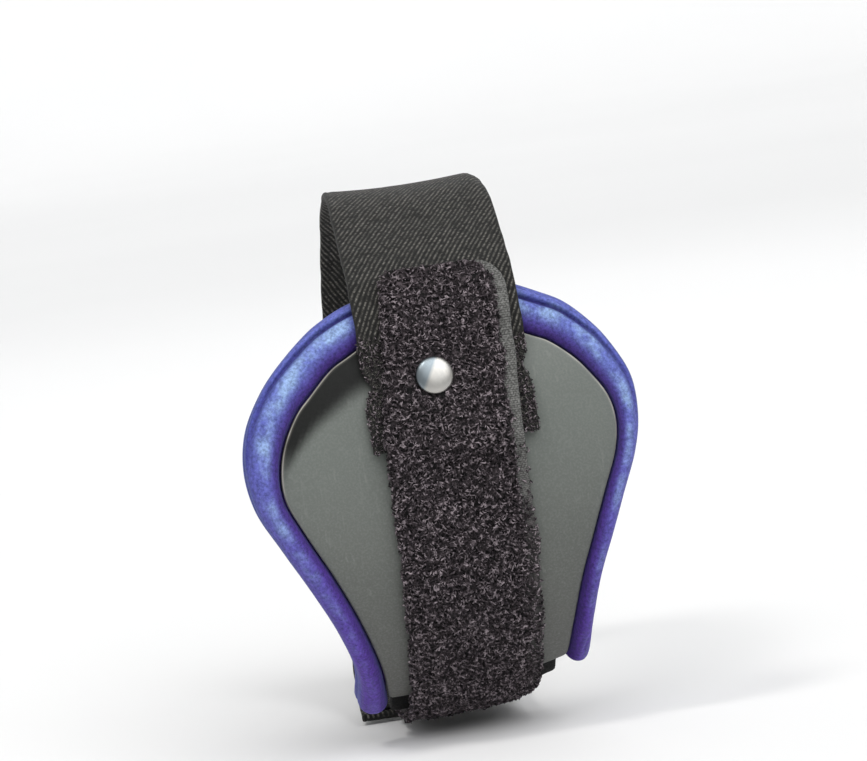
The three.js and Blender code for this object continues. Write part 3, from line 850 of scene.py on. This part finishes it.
def pile_tree():
    """Geometry Nodes tree that grows small nylon loops on the faces of the tape."""
    tree = bpy.data.node_groups.new("loop_pile", "GeometryNodeTree")
    tree.interface.new_socket("Geometry", in_out="OUTPUT", socket_type="NodeSocketGeometry")
    for label, kind in (("Geometry", "Geometry"), ("Loops per square metre", "Float"),
                        ("Loop radius", "Float"), ("Yarn radius", "Float"), ("Lean", "Float"),
                        ("Seed", "Int"), ("Yarn", "Material")):
        tree.interface.new_socket(label, in_out="INPUT", socket_type="NodeSocket" + kind)

    def add(kind, feeds=(), **options):
        return add_node(tree, kind, feeds, **options)

    given = add("NodeGroupInput")
    seed, lean = given["Seed"], given["Lean"]
    mask = add("GeometryNodeInputNamedAttribute", {"Name": "pile"}, data_type="FLOAT")["Attribute"]
    density = add("ShaderNodeMath", {0: given["Loops per square metre"], 1: mask}, operation="MULTIPLY")
    scatter = add("GeometryNodeDistributePointsOnFaces",
                  {"Mesh": given["Geometry"], "Density": density[0], "Seed": seed})
    arc = add("GeometryNodeCurveArc", {"Resolution": 4, "Radius": given["Loop radius"],
                                       "Start Angle": math.radians(-35), "Sweep Angle": math.radians(250)})
    section = add("GeometryNodeCurvePrimitiveCircle", {"Resolution": 3, "Radius": given["Yarn radius"]})
    yarn = add("GeometryNodeCurveToMesh", {"Curve": arc["Curve"], "Profile Curve": section["Curve"]})
    stand = add("GeometryNodeTransform", {"Geometry": yarn["Mesh"], "Rotation": (math.radians(90), 0, 0)})
    back = add("ShaderNodeMath", {0: lean, 1: -1}, operation="MULTIPLY")[0]
    low = add("ShaderNodeCombineXYZ", {"X": back, "Y": back})
    high = add("ShaderNodeCombineXYZ", {"X": lean, "Y": lean, "Z": 2 * math.pi})
    tilt = add("FunctionNodeRandomValue", {0: low[0], 1: high[0], "Seed": seed}, data_type="FLOAT_VECTOR")
    euler = add("FunctionNodeEulerToRotation", {0: tilt[0]})
    turn = add("FunctionNodeRotateRotation", {0: scatter["Rotation"], 1: euler[0]}, rotation_space="LOCAL")
    size = add("FunctionNodeRandomValue", {2: 0.65, 3: 1.25, "Seed": seed}, data_type="FLOAT")
    plant = add("GeometryNodeInstanceOnPoints", {"Points": scatter["Points"], "Instance": stand["Geometry"],
                                                 "Rotation": turn[0], "Scale": size[1]})
    real = add("GeometryNodeRealizeInstances", {0: plant[0]})
    dress = add("GeometryNodeSetMaterial", {"Geometry": real[0], "Material": given["Yarn"]})
    add("NodeGroupOutput", {0: dress[0]})
    return tree


def grow(name, ground, tree, values):
    """Runs a tree on a copy of the ground piece and keeps what it makes as a plain mesh of its own."""
    seedbed = put_in_scene(name + "_seedbed", ground.data.copy())
    modifier = seedbed.modifiers.new("grow", "NODES")
    modifier.node_group = tree
    for item in tree.interface.items_tree:
        if item.name in values:
            modifier[item.identifier] = values[item.name]
    seedbed.update_tag()
    grown = seedbed.evaluated_get(bpy.context.evaluated_depsgraph_get())
    mesh = bpy.data.meshes.new_from_object(grown)
    bpy.data.objects.remove(seedbed, do_unlink=True)
    mesh.name = name
    mesh.materials.clear()
    mesh.materials.append(values["Yarn"])
    mesh.polygons.foreach_set("material_index", np.zeros(len(mesh.polygons), np.int32))
    return put_in_scene(name, mesh)


loop_strap = loop_tape()
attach(loop_strap, "root")
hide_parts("loop_strap")
pile_yarn = pile_finish("charcoal_yarn", srgb(30, 27, 29), srgb(68, 61, 65), srgb(146, 136, 141),
                        grain_size=1250.0)
yarn_loops = pile_tree()
loop_pile = grow("loop_strap_pile", loop_strap, yarn_loops, {
    "Loops per square metre": 3.2e6, "Loop radius": 0.0005, "Yarn radius": 0.00015, "Lean": 0.85, "Seed": 5,
    "Yarn": pile_yarn})
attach(loop_pile, "root")

# Elastic band
# Woven elastic with a fine twill, 31 mm wide. It starts with a cut end on the plate, is pinched at the rivet,
# goes up over the rim and the top, round the back, and ends outside the loop strap on the underside.
elastic_drift = -7.0
elastic_taut_reach = 24.0
elastic_settle = 16.0
pinch_depth = 1.3
pinch_reach = 2.6
hook_thickness = 0.8
twill_pitch = 0.86
twill_lean = math.radians(60.0)
curl_radius = 3.2
curl_width = 3.4


def over_patch(along):
    return loop_inside(along) + loop_full(along) + gap + hook_thickness + gap


def elastic_inside(along):
    patch_start = girth + loop_back_end - gap * 2
    climb = on_plate + (on_rim - on_plate) * smooth((along - rise_start) / (crest_start - rise_start))
    off_rim = taut_height(along - crest_end, elastic_taut_reach, on_rim)
    onto_patch = taut_height(patch_start - along, elastic_settle, over_patch(np.array(patch_start - girth)))
    free = np.maximum(off_rim, onto_patch)
    on_patch = over_patch(along - girth)
    return np.where(along <= crest_end, climb, np.where(along >= patch_start, on_patch, free))


def elastic_centre(along):
    top = girth / 4
    return elastic_drift * smooth((along - top) / (girth - elastic_back_end - top))


def twill_finish():
    twill = Shader("black_twill_elastic", {"Sheen Weight": 0.04, "Specular IOR Level": 0.2})
    pattern, spot = twill.pattern(), twill.spot()

    def measured(x, y):
        return twill.add("VectorMath", {0: pattern, 1: (x, y, 0)}, operation="DOT_PRODUCT")["Value"]

    cross = measured(math.sin(twill_lean), -math.cos(twill_lean))
    run = measured(math.cos(twill_lean), math.sin(twill_lean))
    drawn = twill.sum("MULTIPLY_ADD", twill.noise(pattern, 0.35, 3.0), 0.5, cross)
    turn = twill.sum("MULTIPLY", drawn, 2 * math.pi / twill_pitch)
    rib = twill.sum("POWER", twill.sum("MULTIPLY_ADD", twill.sum("SINE", turn), 0.5, 0.5), 1.5)
    ribs = twill.add("CombineXYZ", {"X": run, "Y": drawn})[0]
    gaps = twill.sum("MULTIPLY_ADD", twill.bricks(ribs, 0.16, 1.0, 1.0, twill_pitch, 0.38), -0.75, 1.0)
    broken = twill.ramp(twill.noise(spot, 900.0), (0.36, 0.15), (0.58, 1.0))
    yarn = twill.sum("MULTIPLY", twill.sum("MULTIPLY", rib, broken), gaps)
    yarn = twill.mix(twill.value("fuzz"), yarn, twill.curls(twill.noise(spot, 1150.0, 2.0, 0.6), 0.9, 0.05))
    # painted shade: the band is darkened within half a millimetre of its sides and over its last millimetres
    # at the free end
    yarn = twill.mix(twill.value("edge"), yarn, (0.06, 0.06, 0.06))
    fibre = twill.noise(spot, 2200.0, 3.0, 0.7)
    # the twill ribs are the band's own pattern; their tops are painted light grey as painted highlight and
    # the grooves near black as painted shade
    shade = twill.mix(twill.ramp(fibre, (0.35, 0.0), (0.65, 1.0)), srgb(58, 58, 54), srgb(131, 128, 122))
    deep = twill.mix(twill.noise(spot, 220.0), srgb(11, 11, 11), srgb(25, 25, 24))
    return twill.done(twill.mix(yarn, deep, shade), twill.ramp(fibre, (0.3, 0.62), (0.7, 0.86)),
                      twill.sum("MULTIPLY_ADD", fibre, 0.3, yarn), 0.00025, 0.9)


def elastic_band():
    end, top = girth - elastic_back_end, girth / 4
    along = band_rows(elastic_front_end, end, 0.5)
    run = along[:, None]
    half = elastic_width / 2 - pinch_depth * np.exp(-2 * ((along - rivet_along) / pinch_reach) ** 2)
    centre = elastic_centre(along)
    left = centre - half + 0.1 * grain(along, along * 0, 3.0, 31)
    right = centre + half + 0.1 * grain(along, along * 0, 3.0, 32)
    over_top = smooth((along - top + 24) / 22) * smooth((top + 60 - along) / 40)
    bend = np.maximum(over_top, 0.001) / curl_radius
    curled = np.sin(curl_width * bend) / bend
    right = right - (curl_width - curled)
    across = across_steps(40, 0.03)
    x, from_edge = between_sides(left, right, across)
    settled = np.convolve(np.pad(elastic_inside(along), 4, "edge"), np.ones(9) / 9, "valid")
    turn = np.arcsin(np.clip((x - (right - curled)[:, None]) * bend[:, None], 0, 1))
    inside = settled[:, None] - (1 - np.cos(turn)) / bend[:, None]
    ripple = 0.05 * grain(x, run, 2.4, 33)
    selvage = 0.12 * bell(from_edge - 1.0, 0.4)
    outside = inside + elastic_thickness + ripple - selvage
    fuzz = smooth((23 + 3 * grain(x, run, 4.0, 34) - run) / 5)
    under = eased(loop_lean, 1, run / loop_top_end) * loop_width
    bared = (np.abs(x - under) > loop_width / 2 - 1.2) * (run < loop_top_end)
    # edge marks where the painted shade at the band's sides and free end falls
    edge = np.maximum(smooth((0.5 - from_edge) / 0.4), smooth((run - end + 9) / 3))
    return band_mesh("elastic_strap_woven", along, left, right, inside, outside, across, 0.55, twill_finish(),
                     {"fuzz": fuzz, "pile": fuzz * bared, "edge": edge})


elastic_strap = elastic_band()
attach(elastic_strap, "root")
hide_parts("elastic_strap")
elastic_fuzz = grow("elastic_strap_fuzz", elastic_strap, yarn_loops, {
    "Loops per square metre": 2.2e6, "Loop radius": 0.00034, "Yarn radius": 0.00012, "Lean": 1.1, "Seed": 9,
    "Yarn": pile_yarn})
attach(elastic_fuzz, "root")

# Hook patch
# Short piece of black hook tape sewn inside the elastic's free end. Its hooks hold the pile of the loop
# strap, so only its edges can be seen.
hook_width = 29.0
hook_length = 40.0
hook_inset = 0.6


def hook_finish():
    hook = Shader("black_hook_tape")
    rows = hook.bricks(hook.pattern(), 0.3, 0.8, 0.9, 0.9, 0.0)
    return hook.done(hook.ramp(rows, (0.0, srgb(34, 33, 36)), (1.0, srgb(14, 14, 16))),
                     hook.ramp(rows, (0.0, 0.45), (1.0, 0.85)), hook.sum("SUBTRACT", 1.0, rows), 0.0002, 0.8)


def hook_tape():
    along = -elastic_back_end - hook_inset - np.concatenate([
        [0, 0.1, 0.3], np.arange(0.8, hook_length - 0.5, 0.8), hook_length - np.array([0.3, 0.1, 0])])
    centre = elastic_centre(girth + along) + (elastic_width - hook_width) / 2 - hook_inset / 2
    inside = (loop_inside(along) + loop_full(along) + gap)[:, None]
    return band_mesh("hook_patch_tape", along, centre - hook_width / 2, centre + hook_width / 2, inside,
                     inside + hook_thickness, across_steps(24, 0.03), 0.3, hook_finish())


hook_patch = hook_tape()
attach(hook_patch, "root")
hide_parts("hook_patch")

# Rivet
# Nickel-plated steel, with a low domed cap sunk in the pile, a shank through strap, elastic and plate, and a
# plain flange behind the plate that is set by pressing.
cap_radius = 3.5
cap_height = 1.2
cap_lip = 0.25
shank_radius = 1.5
flange_radius = 4.0
flange_thickness = 0.6
pile_dent = 0.9
rivet_sides = 56


def metal_finish():
    metal = Shader("nickel_plate", {"Metallic": 1.0})
    spot = metal.spot()
    scratch = metal.noise(metal.drawn(spot, (1.0, 1.0, 0.06), (0.0, 0.9, 0.0)), 5200.0)
    # painted reflection: one side of the rivet is tinted blue-grey
    flat = metal.add("SeparateXYZ", {"Vector": metal.pattern()})
    painted_reflection = metal.between(metal.sum("MULTIPLY_ADD", flat[0], 0.55, flat[1]), 0.5, 1.3, 0.85)
    plated = metal.mix(metal.noise(spot, 420.0, 4.0), srgb(168, 168, 166), srgb(192, 189, 183))
    return metal.done(metal.mix(painted_reflection, plated, srgb(116, 128, 136)),
                      metal.ramp(scratch, (0.4, 0.36), (0.75, 0.46)), scratch, 0.000004, 0.3)


def rivet_turned():
    cap_foot = float(loop_inside(np.array(rivet_along))) + loop_thickness - pile_dent
    flange_top = plate_inside - gap
    flange_foot = flange_top - flange_thickness
    profile = [
        (flange_radius - 0.2, flange_foot), (flange_radius, flange_foot + 0.2),
        (flange_radius, flange_top - 0.1), (flange_radius - 0.1, flange_top),
        (shank_radius, flange_top), (shank_radius, cap_foot),
        (cap_radius - 0.15, cap_foot), (cap_radius, cap_foot + 0.12), (cap_radius, cap_foot + cap_lip),
    ]
    for turn in np.linspace(0.12, math.pi / 2, 12)[:-1]:
        dome = cap_foot + cap_lip + (cap_height - cap_lip) * math.sin(turn)
        profile.append((cap_radius * math.cos(turn) ** 0.8, dome))
    angle = np.interp(rivet_along + front_length, turn_lengths, turn_angles)
    x, at = np.array([rivet_across]), np.array([angle])
    foot, axis = Vector(wrap_point(x, at)[0]), Vector(wrap_normal(x, at)[0])
    side = axis.cross(Vector((1, 0, 0))).normalized()
    other = axis.cross(side)
    points, faces, uv = [], [], []
    for radius, height in profile:
        for turn in (2 * math.pi * k / rivet_sides for k in range(rivet_sides)):
            spot = foot + axis * height + (side * math.cos(turn) + other * math.sin(turn)) * radius
            points.append(spot * 0.001)
            uv.append((radius * math.cos(turn), radius * math.sin(turn)))
    last = (len(profile) - 1) * rivet_sides
    for first in range(0, last, rivet_sides):
        faces += wall(first, first + rivet_sides, rivet_sides)
    for first, height in ((0, flange_foot), (last, cap_foot + cap_height)):
        faces += [(first + k, first + (k + 1) % rivet_sides, len(points)) for k in range(rivet_sides)]
        points.append((foot + axis * height) * 0.001)
        uv.append((0, 0))
    return mesh_piece("rivet_turned", points, faces, uv, metal_finish())


rivet = rivet_turned()
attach(rivet, "root")
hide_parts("rivet")

# Floor, light and camera
# Pale floor that curves up into a backdrop, soft light from above, and a camera at the photograph's angle.
floor_level = cad_box[0][2] - 0.0006
floor_side, floor_back = 8.0, 2.4
floor_bend = 0.8
backdrop_top = 3.6


def studio():
    paper = Shader("pale_paper")
    tone = paper.noise(paper.spot(), 3.0)
    bend = [(-floor_side, 0.0), (floor_back, 0.0)]
    bend += [(floor_back + floor_bend * math.sin(t), floor_bend * (1 - math.cos(t)))
             for t in np.linspace(0.1, math.pi / 2, 14)]
    bend.append((floor_back + floor_bend, backdrop_top))
    points = [(x, y, floor_level + z) for y, z in bend for x in (-floor_side, floor_side)]
    faces = [(2 * i, 2 * i + 1, 2 * i + 3, 2 * i + 2) for i in range(len(bend) - 1)]
    mesh = bpy.data.meshes.new("studio_floor")
    mesh.from_pydata(points, [], faces)
    mesh.shade_smooth()
    mesh.materials.append(paper.done(paper.mix(tone, srgb(236, 236, 236), srgb(242, 242, 242)), 0.9))
    put_in_scene("studio_floor", mesh)


def lamp(name, kind, spot, aim, size, power, colour):
    light = bpy.data.lights.new(name, kind)
    light.energy, light.color = power, colour
    if kind == "SUN":
        light.angle = size
    else:
        light.shape, light.size = "SQUARE", size
    holder = put_in_scene(name, light)
    holder.location = spot
    holder.rotation_euler = (Vector(aim) - Vector(spot)).to_track_quat("-Z", "Y").to_euler()


studio()
lamp("window_light", "SUN", (0.3, -0.75, 0.9), (0, 0, 0), math.radians(55), 2.1, (1.0, 1.0, 1.0))
lamp("key_light", "AREA", (-0.3, -0.3, 0.68), (0, -0.02, 0), 0.14, 1.5, (1.0, 0.98, 0.95))
lamp("back_light", "AREA", (0.1, 0.8, 0.6), (0, 0, 0.1), 0.6, 1.0, (1.0, 1.0, 1.0))
world = bpy.data.worlds.new("studio_air")
world.use_nodes = True
air = world.node_tree.nodes["Background"].inputs
air["Color"].default_value = (0.98, 0.99, 1.0, 1)
air["Strength"].default_value = 0.4
bpy.context.scene.world = world
bpy.context.scene.view_settings.view_transform = "Standard"

camera_yaw = math.radians(-3.8)
camera_rise = math.radians(6.0)
camera_roll = math.radians(8.2)
camera_distance = 0.88
frame_width = 0.1692
slide_left, slide_up = -0.0008, 0.0102
back = Vector((math.sin(camera_yaw) * math.cos(camera_rise), -math.cos(camera_yaw) * math.cos(camera_rise),
               math.sin(camera_rise)))
level = Vector((math.cos(camera_yaw), math.sin(camera_yaw), 0))
upright = back.cross(level)
right_axis = level * math.cos(camera_roll) - upright * math.sin(camera_roll)
up_axis = level * math.sin(camera_roll) + upright * math.cos(camera_roll)
lens = bpy.data.cameras.new("camera")
lens.sensor_width = 36.0
lens.lens = lens.sensor_width * camera_distance / frame_width
lens.clip_start, lens.clip_end = 0.01, 20
camera = put_in_scene("camera", lens)
spot = back * camera_distance + right_axis * slide_left + up_axis * slide_up
camera.matrix_world = Matrix((*zip(right_axis, up_axis, back, spot), (0, 0, 0, 1)))
bpy.context.scene.camera = camera
